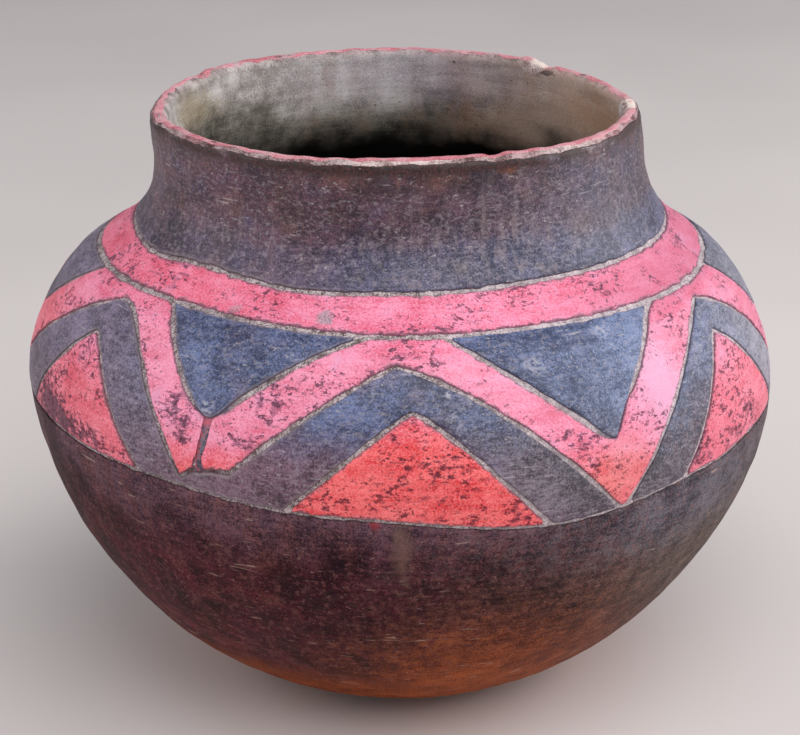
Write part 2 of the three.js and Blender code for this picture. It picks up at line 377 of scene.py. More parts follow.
# Bare clay: grey-buff in the lines, orange at the foot, cream at the lip, pale and sooted inside
clay_finish, clay_shader, here = new_finish("bare_clay")
height = part_of(here, 2)
side = part_of(here, 0)
spot = spots_on(here)
inside = attribute(here, "inside")
grit = grain(here, 0.0007, 3, roughness=0.6)
shred = grain(here, 0.0030, 4, roughness=0.65)
cloud = grain(here, 0.03, 5, roughness=0.6)
blotch = grain(here, 0.007, 4, roughness=0.6)
wiping = grain(here, 0.0022, 3, stretch=(12, 12, 1))
drip = grain(here, 0.009, 3, stretch=(1, 1, 6))
stain = grain(here, 0.06, 4)

# The lines are torn and gritty, smeared with slip in the valleys, and bare in the worn-through tip
split_tone = between(blotch * 0.6 + grit * 0.4, 0.42, 0.6)
split_remains = between(blotch * 0.35 + shred * 0.65, 0.49, 0.55)
split_colour = layered(blended(split_tone, (72, 60, 72), (128, 124, 140)), [
    (split_remains, 0.8, (200, 92, 104)),
])
line_layers = [
    (between(blotch * 0.5 + shred * 0.5, 0.52, 0.60), 0.75, (72, 56, 54)),
    (between(side + (cloud - 0.5) * 0.10, -0.02, -0.08), 0.2, blended(grit, (78, 66, 72), (160, 146, 156))),
    (between(side + (cloud - 0.5) * 0.06, -0.01, 0.06), 0.3, (216, 204, 212)),
]
for bay in range(bay_count):
    valley = first_peak + (bay + 0.5) * 360 / bay_count + valley_drift[bay]
    smear = spot(valley, crotch_level + crotch_lift[bay] + 0.001, 0.010, 0.006, 0.4)
    line_layers.append((smear, crotch_smears[bay], (84, 82, 104)))
line_layers += [
    (spot(-27.5, 0.1500, 0.016, 0.003, 0.4), 0.8, (78, 52, 56)),
    (spot(*split, 0.3), 1, split_colour),
    (spot(-28.2, 0.1712, 0.0040, 0.0022, 0.8), 0.6, (214, 112, 132)),
]
line_tone = between(grit * 0.5 + shred * 0.5, 0.40, 0.60)
line_colour = layered(blended(line_tone, (96, 82, 80), (218, 202, 204)), line_layers)

# The foot is orange clay, and the lip is pale where the ochre is worn off it
foot_tone = between(cloud * 0.4 + grit * 0.3 + wiping * 0.3, 0.38, 0.62)
lip_tone = between(grit * 0.4 + blotch * 0.6, 0.40, 0.60)
cream_clay = blended(lip_tone, (132, 104, 100), (228, 212, 208))
bare_front = spot(1, 0.2670, 0.026, 0.010, 0.8)
bare_front = bare_front.most(spot(42, 0.2670, 0.020, 0.010, 0.8) * 0.6)
lip_colour = layered(blended(lip_tone, (82, 58, 58), (188, 164, 166)), [
    (between(cloud, 0.46, 0.60), 0.4, (172, 112, 118)),
    (bare_front, 0.8, cream_clay),
])
outside_colour = layered(line_colour, [
    (between(height, 0.06, 0.04), 1, blended(foot_tone, (112, 42, 12), (176, 94, 38))),
    (between(height, 0.259, 0.262), 1, lip_colour),
])

# The inside is wiped, browned on the right and pitted on the left. Its lightness is painted light and
# shade: pale under the lip, lighter on the right wall, and near black lower down, fading to dark brown in
# the bowl.
# How far down the painted light under the lip gives way to painted shade deeper in the jar
painted_light_and_shade_level = height + (stain - 0.5) * 0.04 + (cloud - 0.5) * 0.02 - side * 0.06
wiped_tone = between(cloud * 0.40 + blotch * 0.20 + wiping * 0.12 + grit * 0.28, 0.40, 0.60)
browned = between(drip * 0.3 + stain * 0.4 + blotch * 0.3 + side * 0.8, 0.48, 0.64)
browned = browned.most(spot(108, 0.246, 0.034, 0.022, 0.6))
# Painted light: the inside wall on the right is painted lighter
painted_light_right_wall = between(side + (cloud - 0.5) * 0.05, 0.015, 0.085)
pitted = spot(-106, 0.250, 0.024, 0.009, 0.6)
holes = between(grain(here, 0.0024, 2), 0.68, 0.72) * between(blotch, 0.48, 0.62)
holes = holes.most(between(grain(here, 0.0019, 2), 0.61, 0.65) * pitted)
# Painted shade deep inside: near black under the painted light, fading to dark brown lower in the bowl
painted_shade_deep_inside = layered(blended(wiped_tone, (50, 40, 34), (108, 92, 82)), [
    (between(height, 0.165, 0.208), 1, (14, 10, 8)),
])
wiped_colour = layered(blended(wiped_tone, (82, 78, 70), (156, 148, 138)), [
    (between(painted_light_and_shade_level, 0.240, 0.259), 1, blended(wiped_tone, (136, 126, 120), (214, 208, 206))),
    (browned, 0.6, blended(grit, (82, 50, 34), (156, 112, 84))),
    (painted_light_right_wall, 0.7, blended(grit, (150, 122, 108), (226, 198, 182))),
    (spot(176, 0.258, 0.050, 0.014, 0.8), 0.4, blended(grit, (120, 106, 126), (186, 172, 190))),
    (holes, 0.8, (40, 34, 30)),
    (spot(104, 0.2510, 0.034, 0.0125, 0.7), 0.65, blended(grit, (146, 108, 84), (212, 168, 138))),
    (spot(-108, 0.2560, 0.022, 0.008, 0.7), 0.5, blended(grit, (140, 120, 92), (206, 188, 158))),
    (between(painted_light_and_shade_level + painted_light_right_wall * 0.007, 0.244, 0.219), 1, painted_shade_deep_inside),
    *[(spot(*patch, 0.3), 1, cream_clay) for patch in rim_patches],
    # Painted shadow: a dark spot in the chip at the back of the rim
    (spot(136, 0.2650, 0.004, 0.0014, 0.3), 0.8, (34, 28, 26)),
])
feed(clay_shader, {
    "Base Color": blended(inside, outside_colour, wiped_colour),
    "Roughness": 0.72 + 0.2 * grit,
    "Normal": bumpy(grit * 0.5 + blotch * 0.8 + wiping * 0.3, 0.6, 0.0006),
    "Specular IOR Level": 0.15,
})


def new_tree(name, inputs):
    """A node tree that makes a mesh, with named inputs, and a wire from each of them."""
    tree = bpy.data.node_groups.new(name, "GeometryNodeTree")
    tree.interface.new_socket("Start", in_out="INPUT", socket_type="NodeSocketGeometry")
    for label, kind in inputs.items():
        tree.interface.new_socket(label, in_out="INPUT", socket_type=kind)
    tree.interface.new_socket("Piece", in_out="OUTPUT", socket_type="NodeSocketGeometry")
    entry = tree.nodes.new("NodeGroupInput")
    return tree, {socket.name: Wire(tree, socket) for socket in entry.outputs if socket.name}


def close_tree(piece, finish):
    """The end of a tree: real mesh, and its finish."""
    real = piece.node("GeometryNodeRealizeInstances", {}, {"Geometry": piece})
    painted = real.node("GeometryNodeSetMaterial", {}, {"Geometry": real, "Material": finish})
    leave = piece.tree.nodes.new("NodeGroupOutput")
    piece.tree.links.new(painted.socket, leave.inputs[0])


# A course is turned from its section: a flat grid whose columns go round and whose rows follow the section
ridge_stretch = (1, 1, 5)
ridge_scale = 28
weld_distance = 0.00001
course_tree, inlet = new_tree("turned_course", {
    "Columns": "NodeSocketInt", "Wiping depth": "NodeSocketFloat", "Wiping seed": "NodeSocketFloat",
    "Finish": "NodeSocketMaterial",
})
section = inlet["Start"]
spots = section.node("GeometryNodeAttributeDomainSize", {}, {"Geometry": section})
sheet = section.node("GeometryNodeMeshGrid", {}, {
    "Size X": 1, "Size Y": 1, "Vertices X": inlet["Columns"] + 1, "Vertices Y": spots,
})
spread = section.node("GeometryNodeInputPosition")
column = part_of(spread, 0) + 0.5
row = part_of(spread, 1) + 0.5
row_index = section.node("FunctionNodeFloatToInt", {"rounding_mode": "ROUND"}, {0: row * (spots - 1)})
place = section.node("GeometryNodeSampleIndex", {"data_type": "FLOAT_VECTOR", "domain": "POINT"}, {
    "Geometry": section, "Value": section.node("GeometryNodeInputPosition"), "Index": row_index,
})
within = section.node("GeometryNodeInputNamedAttribute", {"data_type": "FLOAT"}, {"Name": "inside"})
within = section.node("GeometryNodeSampleIndex", {"data_type": "FLOAT", "domain": "POINT"}, {
    "Geometry": section, "Value": within, "Index": row_index,
})
radius = part_of(place, 0)
level = part_of(place, 2)
turn = column * (2 * math.pi)
sine = turn.math("SINE", turn)
cosine = turn.math("COSINE", turn)
true_place = section.node("ShaderNodeCombineXYZ", {}, {0: radius * sine, 1: radius * cosine * -1, 2: level})
ridge_place = section.node("ShaderNodeVectorMath", {"operation": "MULTIPLY"}, {
    0: true_place, 1: ridge_stretch,
})
ridges = section.node("ShaderNodeTexNoise", {"noise_dimensions": "4D"}, {
    "Vector": ridge_place, "W": inlet["Wiping seed"], "Scale": ridge_scale, "Detail": 3,
})
wiped_radius = radius + (ridges - 0.5) * inlet["Wiping depth"] * within
wiped_place = section.node("ShaderNodeCombineXYZ", {}, {
    0: wiped_radius * sine, 1: wiped_radius * cosine * -1, 2: level,
})
wall = section.node("GeometryNodeStoreNamedAttribute", {"data_type": "FLOAT", "domain": "POINT"}, {
    "Geometry": sheet, "Name": "inside", "Value": within,
})
wall = section.node("GeometryNodeSetPosition", {}, {"Geometry": wall, "Position": wiped_place})
wall = section.node("GeometryNodeMergeByDistance", {}, {"Geometry": wall, "Distance": weld_distance})
wall = section.node("GeometryNodeSetShadeSmooth", {}, {"Geometry": wall})
close_tree(wall, inlet["Finish"])


def grow(name, start, tree, sizes):
    """The plain mesh that a tree makes of a start mesh, as an object of its own."""
    piece = bpy.data.objects.new(name, start)
    bpy.context.scene.collection.objects.link(piece)
    growth = piece.modifiers.new("growth", "NODES")
    growth.node_group = tree
    inputs = [item for item in tree.interface.items_tree if item.in_out == "INPUT"]
    for item in inputs:
        if item.name in sizes:
            growth[item.identifier] = sizes[item.name]
    graph = bpy.context.evaluated_depsgraph_get()
    finished = piece.evaluated_get(graph)
    mesh = bpy.data.meshes.new_from_object(finished, preserve_all_data_layers=True, depsgraph=graph)
    piece.modifiers.remove(growth)
    piece.data = mesh
    return piece


def settle(piece, sharp_angle=50):
    """Give a finished mesh the unevenness of the hand, and keep its edges crisp."""
    mesh = piece.data
    places = np.empty(len(mesh.vertices) * 3, np.float32)
    mesh.vertices.foreach_get("co", places)
    places = hand_shaped(places.reshape(-1, 3).astype(float))
    mesh.vertices.foreach_set("co", places.astype(np.float32).ravel())
    mesh.set_sharp_from_angle(angle=math.radians(sharp_angle))
    mesh.update()


def dress(piece, node, slot):
    """Join a piece to the jar in place of its solid."""
    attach(piece, "root")
    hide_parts(node)


course_columns = 480
course_step = 0.0028
# Levels between which the clay sinks under the coats
bare_foot_top = 0.013
coats_start = 0.030
coats_end = 0.255
lip_coat_start = 0.264


def clay_depth(reach):
    """How deep the clay lies under the finished outside: bare at the foot, else under a coat."""
    levels = up_outside((bare_foot_top, coats_start, coats_end, lip_coat_start))
    knots = np.concatenate(([0], levels, [lip_end, path[-1]]))
    depths = (0, 0, groove_depth, groove_depth, lip_coat_depth, 0, 0)
    return np.interp(reach, knots, depths)


def section_run(start, end, step=course_step):
    """Even steps along the section."""
    return np.linspace(start, end, max(3, int(abs(end - start) / step) + 1))


lip_step = 0.0012
turn_inside = 0.006
wiping_depth = 0.0022
wiping_seed = 3.7
courses = ("base_bowl", "lower_wall_course", "belly_course", "shoulder_course", "collar_course",
           "neck_course", "lip_coil")
low = 0
for course in courses:
    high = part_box(course)[1].z
    if course == "base_bowl":
        run = np.concatenate((section_run(0, up_outside(high)), section_run(up_inside(high), path[-1])))
    elif course == "lip_coil":
        run = section_run(up_outside(low), up_inside(low), lip_step)
        run = np.append(run, run[0])
    else:
        run = np.concatenate((
            section_run(up_outside(low), up_outside(high)),
            section_run(up_inside(high), up_inside(low)),
            [up_outside(low)],
        ))
    spot_radius, spot_height = section_spot(run, clay_depth(run))
    start = bpy.data.meshes.new(course + "_section")
    start.from_pydata(np.stack((spot_radius, 0 * run, spot_height), 1).tolist(), [], [])
    within_share = np.clip((run - top_of_path) / turn_inside, 0, 1)
    inside_mark = start.attributes.new("inside", "FLOAT", "POINT")
    inside_mark.data.foreach_set("value", within_share.astype(np.float32))
    piece = grow(course + "_clay", start, course_tree, {
        "Columns": course_columns, "Wiping depth": wiping_depth, "Wiping seed": wiping_seed,
        "Finish": clay_finish,
    })
    settle(piece)
    dress(piece, course, "fired_clay")
    low = high

# Graphite coats: a slip of fine clay and ground graphite, rubbed to a soft shine with a pebble.
# It covers the lower body and the neck as rings, and the shoulder in panels between the incised lines.
# Each coat is a skin on the clay, with edges that were cut ragged when the lines were drawn.
triangle_bow = 1.25
# How far the hand strayed from an even drawing, bay by bay from the front round to the left side
peak_drift = (-2.5, -1.5, 0.8, -1.0, 1.2, 3.2)
peak_lift = (-0.0003, 0.004, 0.001, 0.003, 0.002, 0.0055)
tip_floor = (0, 0, 0.1465, 0, 0.148, 0)
triangle_drift = (0.9, -1.0, 0.6, -0.8, 1.0, 2.3)
triangle_reach = (18.4, 16.8, 17.4, 16.6, 17.0, 16.8)
apex_lean = (-0.8, -2.0, 0.8, 1.0, -0.7, 0.2)
apex_lift = (-0.0038, 0.0045, 0.001, 0.002, -0.001, 0.004)
# For each arm of the zigzag: how far it keeps to the collar before it turns down, how round its foot is,
# how its upper and its lower line are bowed, and how far its tip strays
arm_reach = (6.3, 10.5, 14.0, 10.0, 10.0, 11.0, 11.0, 9.5, 9.5, 13.3, 10.1, 2.0)
arm_round = (0.12, 0.03, 0.14, 0.1, 0.2, 0.16, 0.1, 0.14, 0.18, 0.05, 0.26, 0.03)
upper_bow = (1.28, 2.1, 1.14, 1.5, 1.4, 1.6, 1.5, 1.4, 1.5, 1.12, 1.65, 1.82)
lower_bow = (0.76, 0.75, 0.7, 0.6, 0.7, 0.8, 0.6, 0.7, 0.7, 0.52, 1.0, 0.5)
tip_lift = (-0.0093, -0.0045, -0.006, 0.001, 0.003, 0.003, 0.0, 0.0, 0.004, 0.0017, -0.0138, -0.001)
# The foot of the front right panel leans to the left of the tip under it
panel_foot_lean = 2.0
panel_foot_span = 5.0
# The front left tip is worn through, so that the two arms end on either side of bare clay
left_tip_stops = (-31.9, -29.7, -24.5)
left_tip_floors = (0.1458, 0.1498, 0.1518)
left_end_stops = (-29.85, -29.65, -29.30, -29.12, -28.96, -28.80)
left_end_floors = (0.1500, 0.1542, 0.1552, 0.1608, 0.1620, 0.1695)
right_end_stops = (-28.32, -28.20, -28.05, -27.8, -27.55, -27.42)
right_end_floors = (0.1546, 0.1530, 0.1519, 0.1512, 0.1508, 0.1500)
right_end_ceilings = (0.1560, 0.1582, 0.1596, 0.1619, 0.1668, 0.1730)
# How far the three lines that run round the jar stray from level, at a few azimuths
belly_stops = (-100, -40, -7, 22, 50, 64, 100, 180)
belly_lifts = (0.003, 0.004, 0.0, -0.005, 0.002, 0.0045, 0.004, -0.001)
collar_stops = (-110, -45, -5, 30, 75, 150)
collar_lifts = (-0.0005, 0.0017, 0.0003, 0.0007, 0.0002, -0.0008)
neck_stops = (-100, -60, -45, -18, 0, 40, 75, 160)
neck_lifts = (0.0, -0.001, 0.001, -0.0011, 0.0, 0.0014, 0.001, -0.0008)

bay_angle = 360 / bay_count
peaks = first_peak + bay_angle * np.arange(bay_count) + peak_drift
valleys = first_peak + bay_angle * (np.arange(bay_count) + 0.5) + valley_drift
turning_points = np.stack((peaks, valleys), 1).ravel()
peaks_after = np.append(peaks[1:], peaks[0] + 360)
valleys_before = np.append(valleys[-1] - 360, valleys[:-1])


def strayed(azimuth, stops, lifts):
    """How far a line strays from level, eased from stop to stop round the jar."""
    turned = (np.asarray(azimuth) - stops[0]) % 360 + stops[0]
    ends = np.append(stops, stops[0] + 360)
    levels = np.append(lifts, lifts[0])
    stop = np.clip(np.searchsorted(ends, turned, side="right") - 1, 0, len(stops) - 1)
    share = (turned - ends[stop]) / (ends[stop + 1] - ends[stop])
    eased = share * share * (3 - 2 * share)
    return levels[stop] + (levels[stop + 1] - levels[stop]) * eased


def belly_path(azimuth):
    """Level of the line under the triangles."""
    return belly_line + strayed(azimuth, belly_stops, belly_lifts)


def collar_path(azimuth):
    """Level of the line under the collar."""
    return collar_line + strayed(azimuth, collar_stops, collar_lifts)


def neck_path(azimuth):
    """Level of the line at the foot of the neck."""
    return neck_line + strayed(azimuth, neck_stops, neck_lifts)


def on_arm(azimuth):
    """The bay, valley and arm that an azimuth lies on, and the share of the way down to the valley."""
    turned = (np.asarray(azimuth) - peaks[0]) % 360 + peaks[0]
    ends = np.append(turning_points, peaks[0] + 360)
    arm = np.clip(np.searchsorted(ends, turned, side="right") - 1, 0, 2 * bay_count - 1)
    share = (turned - ends[arm]) / (ends[arm + 1] - ends[arm])
    goes_down = arm % 2 == 0
    bay = np.where(goes_down, arm // 2, (arm // 2 + 1) % bay_count)
    return bay, arm // 2, arm, np.where(goes_down, share, 1 - share)


def zigzag_lower_line(azimuth):
    """Level of the line along the underside of the zigzag."""
    bay, valley, arm, share = on_arm(azimuth)
    top = peak_level + np.take(peak_lift, bay)
    tip = tip_level + np.take(tip_lift, arm)
    bow = np.take(lower_bow, arm)
    drop = (1 - bow) * share + bow * share**2
    front_turn = (np.asarray(azimuth) + 180) % 360 - 180
    floor = np.where(valley == bay_count - 1, np.interp(front_turn, left_tip_stops, left_tip_floors),
                     np.take(tip_floor, valley))
    return np.maximum(top + (tip - top) * drop, floor)


def zigzag_upper_line(azimuth):
    """Level of the line along the top of the zigzag, which runs into the collar line at each peak."""
    azimuth = np.asarray(azimuth)
    from_front_right = (azimuth - valleys[0] + 180) % 360 - 180
    leaned = azimuth + panel_foot_lean * np.exp(-(from_front_right / panel_foot_span) ** 2)
    bay, valley, arm, share = on_arm(leaned)
    flat_share = np.take(arm_reach, arm) / (bay_angle / 2)
    crotch = crotch_level + np.take(crotch_lift, valley)
    rounding = np.take(arm_round, arm)
    down = np.clip((share - flat_share) / (1 - flat_share), 0, 1)
    from_valley = np.clip(np.hypot(1 - down, rounding) - rounding * down, 0, 1)
    top = collar_path(azimuth)
    return top + (crotch - top) * (1 - from_valley)**np.take(upper_bow, arm)


def triangle_line(azimuth):
    """Level of the two slanting sides of the triangle under each peak."""
    bay = np.round((np.asarray(azimuth) - first_peak) / bay_angle).astype(int) % bay_count
    middle = first_peak + bay_angle * bay + np.take(triangle_drift, bay)
    away = (azimuth - middle + 180) % 360 - 180
    lean = np.take(apex_lean, bay)
    reach = np.take(triangle_reach, bay) - np.sign(away - lean) * lean
    share = np.abs(away - lean) / reach
    apex = apex_level + np.take(apex_lift, bay)
    return apex + (belly_path(azimuth) - apex) * share**triangle_bow


# Where on the way down an arm the smear sets in, over how much of it, and how far it closes the line
smear_start = 0.87
smear_span = 0.07
smear_cover = 0.92


def upper_line_width(azimuth):
    """Width of the line along the top of the zigzag, which closes where slip is smeared over it."""
    bay, valley, arm, share = on_arm(azimuth)
    smeared = np.take(crotch_smears, valley) * np.clip((share - smear_start) / smear_span, 0, 1)
    return groove_width * (1 - smear_cover * smeared)


# The edge of a coat is torn finely and strays slowly, and the tool was pressed more and less deeply.
# Each has a size and the fewest and most waves round the jar.
tear_size = 0.00007
tear_turns = (200, 470)
stray_size = 0.00017
stray_turns = (20, 140)
press_size = 0.20
press_turns = (8, 70)
press_seed = 61
widest_slant = 2.2
slope_probe = 0.3
# The rubbing pebble leaves hollows: how deep, how many waves, and how they turn and rise
hollow_depth = 0.00003
hollow_waves = 18
hollow_turns = (4, 60)
hollow_rises = (-500, 500)
hollow_seed = 77


def wander(around, slowest, fastest, seed, waves=16):
    """An uneven line round the jar, mostly between -1 and 1, that closes on itself."""
    dice = np.random.default_rng(seed)
    turns = dice.integers(slowest, fastest, waves)
    starts = dice.uniform(0, 2 * math.pi, waves)
    return np.sin(np.outer(around, turns) + starts).sum(1) / math.sqrt(waves)


def ragged(around, seed):
    """How far the edge of a coat strays from its line: short tears on longer ones."""
    tears = tear_size * wander(around, *tear_turns, seed)
    return tears + stray_size * wander(around, *stray_turns, seed + 1)


def beside(line, azimuth, side, width=groove_width):
    """Reach along the section of the edge of a coat, half a groove above (1) or below (-1) a line."""
    slope_rise = up_outside(line(azimuth + slope_probe)) - up_outside(line(azimuth - slope_probe))
    slope_run = 2 * math.radians(slope_probe) * belly_radius
    pressed = 1 + press_size * wander(np.radians(azimuth), *press_turns, press_seed)
    clear = width / 2 * pressed * np.minimum(np.hypot(1, slope_rise / slope_run), widest_slant)
    return up_outside(line(azimuth)) + side * clear


def burnished(around, reach):
    """Shallow hollows that the rubbing pebble leaves, in metres."""
    dice = np.random.default_rng(hollow_seed)
    hollows = np.zeros(np.broadcast(around, reach).shape)
    all_turns = dice.integers(*hollow_turns, hollow_waves)
    all_rises = dice.uniform(*hollow_rises, hollow_waves)
    for turns, rises in zip(all_turns, all_rises):
        hollows += np.sin(turns * around + rises * reach + dice.uniform(0, 2 * math.pi))
    return hollow_depth * hollows


# The rolled edge of a coat: how wide it is, and how deep it lies at some shares of that width
edge_roll = 0.0009
edge_shares = np.array((0, 0.12, 0.45))
edge_depths = np.array((1.2, 0.6, 0.14))
# Lengths of the rows on the face and on the back of a coat, and limits for the thin ends of fields
row_length = 0.0022
back_row_length = 0.009
thinnest_span = 0.0004
widest_roll = 0.3


def lay_slip(name, azimuth, low, high, is_ring, finish, thickness=groove_depth, seed=1):
    """One coat on the wall between two lines: a closed skin with rounded edges, a little sunk."""
    around = np.radians(azimuth)[:, None]
    low = (low + ragged(around[:, 0], seed))[:, None]
    high = (high + ragged(around[:, 0], seed + 50))[:, None]
    span = np.maximum(high - low, thinnest_span)
    roll = np.minimum(edge_roll, widest_roll * span)
    middle_rows = max(3, int(span.max() / row_length))
    middle = np.linspace(0, 1, middle_rows)
    back_rows = max(3, int(span.max() / back_row_length))
    back = np.linspace(1, 0, back_rows + 2)[1:-1]
    reach = np.concatenate((
        low + roll * edge_shares,
        low + roll + (span - 2 * roll) * middle,
        low + span - roll * edge_shares[::-1],
        low + span * back,
    ), 1)
    sunk = np.concatenate((edge_depths, 0 * middle, edge_depths[::-1], 0 * back + edge_depths[0]))
    face_rows = len(sunk) - back_rows
    depth = sunk * thickness + 0 * reach
    is_middle = (sunk == 0)[None, :]
    depth += np.where(is_middle, burnished(around, reach), 0)
    radius, height = section_spot(reach, depth)
    places = np.stack((radius * np.sin(around), -radius * np.cos(around), height), 2)

    columns, rows = reach.shape
    index = np.arange(columns * rows).reshape(columns, rows)
    ahead = np.roll(index, -1, 0)
    above = np.roll(index, -1, 1)
    quads = np.stack((index, ahead, np.roll(ahead, -1, 1), above), 2)
    faces = (quads if is_ring else quads[:-1]).reshape(-1, 4).tolist()
    if not is_ring:
        faces += [index[0].tolist(), index[-1][::-1].tolist()]
    mesh = bpy.data.meshes.new(name)
    mesh.from_pydata(places.reshape(-1, 3).tolist(), [], faces)
    mesh.shade_smooth()
    from_edge = np.minimum(reach - low, low + span - reach)
    from_edge[:, face_rows:] = 0
    edge = mesh.attributes.new("edge", "FLOAT", "POINT")
    edge.data.foreach_set("value", from_edge.ravel().astype(np.float32))
    mesh.materials.append(finish)
    piece = bpy.data.objects.new(name, mesh)
    bpy.context.scene.collection.objects.link(piece)
    settle(piece)
    return piece


def rubbed(here):
    """Clouds, blotches, pebble strokes and fine grain of a rubbed slip, and the lightness they give."""
    cloud = grain(here, 0.045, 5, roughness=0.6)
    blotch = grain(here, 0.011, 5, roughness=0.65)
    rubbing = grain(here, 0.0016, 3, stretch=(8, 8, 1))
    fine = grain(here, 0.0008, 3, roughness=0.7)
    tone = cloud * 0.20 + blotch * 0.22 + rubbing * 0.14 + fine * 0.44
    return cloud, blotch, rubbing, fine, between(tone, 0.41, 0.60)


# Graphite of the shoulder and neck: blue-grey, browner on the neck and scorched under the lip. The
# blue-grey is partly the slip's own colour and partly painted sky reflection on the upward-facing shoulder;
# lower down, where that reflection fades, the fields turn browner.

# Pale scuffs: azimuth, level, half width, half height and how much
pale_scuffs = (
    (6.8, 0.1891, 0.0008, 0.0032, 0.8), (7.4, 0.1793, 0.0030, 0.0040, 0.3),
    (20.5, 0.1940, 0.0040, 0.0030, 0.35), (-28.8, 0.1760, 0.0030, 0.0024, 0.5),
    (34.1, 0.2011, 0.0040, 0.0016, 0.45),
)
shoulder_finish, shoulder_shader, here = new_finish("graphite_slip_shoulder")
height = part_of(here, 2)
side = part_of(here, 0)
spot = spots_on(here)
edge = attribute(here, "edge")
cloud, blotch, rubbing, fine, light = rubbed(here)
hue = grain(here, 0.028, 4, roughness=0.6)
patch = grain(here, 0.018, 4, roughness=0.6)
tinge = grain(here, 0.0015, 3, stretch=(1.6, 1.6, 1), roughness=0.6)
speck = grain(here, 0.0010, 2, stretch=(2, 2, 1))
scratch = grain(here, 0.0011, 2, stretch=(12, 12, 1))
streak = grain(here, 0.0035, 3, stretch=(1, 1, 5))

# Blue-grey: the slip's own grey with painted sky reflection in it
sheen_blue_grey = blended(light, (26, 35, 70), (112, 124, 166))
mauve_grey = blended(light, (64, 50, 70), (150, 130, 152))
brown_grey = blended(light, (58, 31, 43), (136, 100, 116))
plum_grey = blended(light, (38, 16, 32), (114, 80, 96))
slate_grey = blended(light, (54, 52, 58), (132, 130, 138))
wavering = height + (blotch - 0.5) * 0.014 + (cloud - 0.5) * 0.03
panel_colour = layered(sheen_blue_grey, [
    (between(wavering, 0.180, 0.158), 0.85, brown_grey),
    (between(hue, 0.50, 0.66), 0.45, mauve_grey),
    (between(side + (cloud - 0.5) * 0.06, -0.080, -0.125), 0.8, mauve_grey),
    (spot(-22, 0.152, 0.034, 0.016, 0.8), 0.75, brown_grey),
    (spot(32, 0.156, 0.060, 0.026, 0.8), 0.7, slate_grey),
    # Painted sheen: blue and pale grey clouds on the right of the shoulder, from the light on that side
    (spot(36, 0.187, 0.036, 0.024, 0.8), 0.65, blended(light, (62, 80, 118), (136, 152, 190))),
    (spot(80, 0.178, 0.052, 0.046, 0.8), 0.9, blended(light, (96, 94, 108), (178, 174, 188))),
])

# The neck has brown and violet smoke, a plum shade in front and a scuff on the right. Near its foot it is
# blue, partly the slip's colour and partly painted sky reflection, most in front and on the right, and a
# blue-grey cloud on its right is painted sheen.
neck_sheen_blue = between(wavering + (hue - 0.5) * 0.03, 0.240, 0.224)
neck_sheen_blue = neck_sheen_blue * (0.35 + 0.65 * between(side, -0.06, 0.0))
neck_scuff = spot(16, 0.2330, 0.034, 0.016, 0.9) * between(streak * 0.6 + fine * 0.4, 0.42, 0.62)
neck_colour = layered(plum_grey, [
    (between(patch, 0.52, 0.64), 0.6, blended(light, (56, 30, 30), (130, 92, 84))),
    (between(patch, 0.47, 0.36), 0.6, blended(light, (40, 28, 58), (102, 88, 120))),
    (neck_sheen_blue, 0.6, sheen_blue_grey),
    # Painted sheen: a blue-grey cloud on the right of the neck
    (spot(50, 0.238, 0.052, 0.030, 0.8), 0.4, blended(light, (42, 50, 68), (112, 120, 140))),
    (between(streak, 0.54, 0.7), 0.3, (140, 124, 124)),
    (spot(-3, 0.2470, 0.034, 0.012, 0.9), 0.45, blended(light, (30, 8, 24), (88, 54, 70))),
    (neck_scuff, 0.4, (152, 136, 142)),
])

# Over both: scorch, rust and char under the lip, scuffs, flecks, scratches, and dust on the left edges
scorched = between(height + (blotch - 0.5) * 0.012, 0.2560, 0.2630) * 0.4
scorched = scorched.most(spot(2, 0.2640, 0.050, 0.0085, 0.6) * 0.65)
scorch_tone = between(blotch * 0.55 + fine * 0.45, 0.44, 0.66)
rust_colour = blended(between(fine, 0.4, 0.6), (96, 48, 22), (182, 112, 58))
scuff_grain = between(tinge, 0.42, 0.56)
flecks = between(speck, 0.645, 0.70) * between(blotch, 0.38, 0.56)
near_collar = between(height, 0.190, 0.203) * between(height, 0.2075, 0.2045)
dusty_edge = between(edge + (fine - 0.5) * 0.003 + (blotch - 0.5) * 0.003, 0.0018, 0.0003)
char = between(height + (blotch - 0.5) * 0.006 + (fine - 0.5) * 0.003, 0.2618, 0.2650)
char = char * between(grain(here, 0.02, 3) + spot(0, 0.2640, 0.070, 0.02, 0.8) * 0.24, 0.44, 0.58)
colour = layered(panel_colour, [
    (between(height, 0.210, 0.214), 1, neck_colour),
    (between(tinge, 0.52, 0.66), 0.4, (150, 142, 150)),
    (between(tinge, 0.46, 0.34), 0.45, (36, 34, 52)),
    (scorched, 1, blended(scorch_tone, (30, 13, 13), (108, 64, 52))),
    (spot(23.5, 0.2638, 0.0034, 0.0014, 0.8), 0.55, rust_colour),
    *[(spot(*place, 0.8) * scuff_grain, amount, (196, 192, 204)) for *place, amount in pale_scuffs],
    (flecks, 0.5, (190, 180, 180)),
    (between(scratch, 0.67, 0.72) * between(cloud + near_collar * 0.2, 0.44, 0.58), 0.5, (180, 174, 178)),
    (dusty_edge * between(side, 0.0, -0.05), 0.4, (150, 134, 138)),
    # Painted shadow, partly wear: the coat darkens along its edge at the lines
    (between(edge + (fine - 0.5) * 0.0012, 0.0006, 0.0001), 0.4, (72, 64, 68)),
    (char, 0.9, blended(between(fine, 0.4, 0.65), (18, 2, 4), (76, 34, 30))),
])
feed(shoulder_shader, {
    "Base Color": colour,
    "Roughness": 0.36 + 0.24 * blotch + 0.2 * flecks,
    "Normal": bumpy(fine * 0.6 + blotch * 0.8 + rubbing * 0.4, 0.45, 0.0005),
    "Specular IOR Level": 0.5,
})

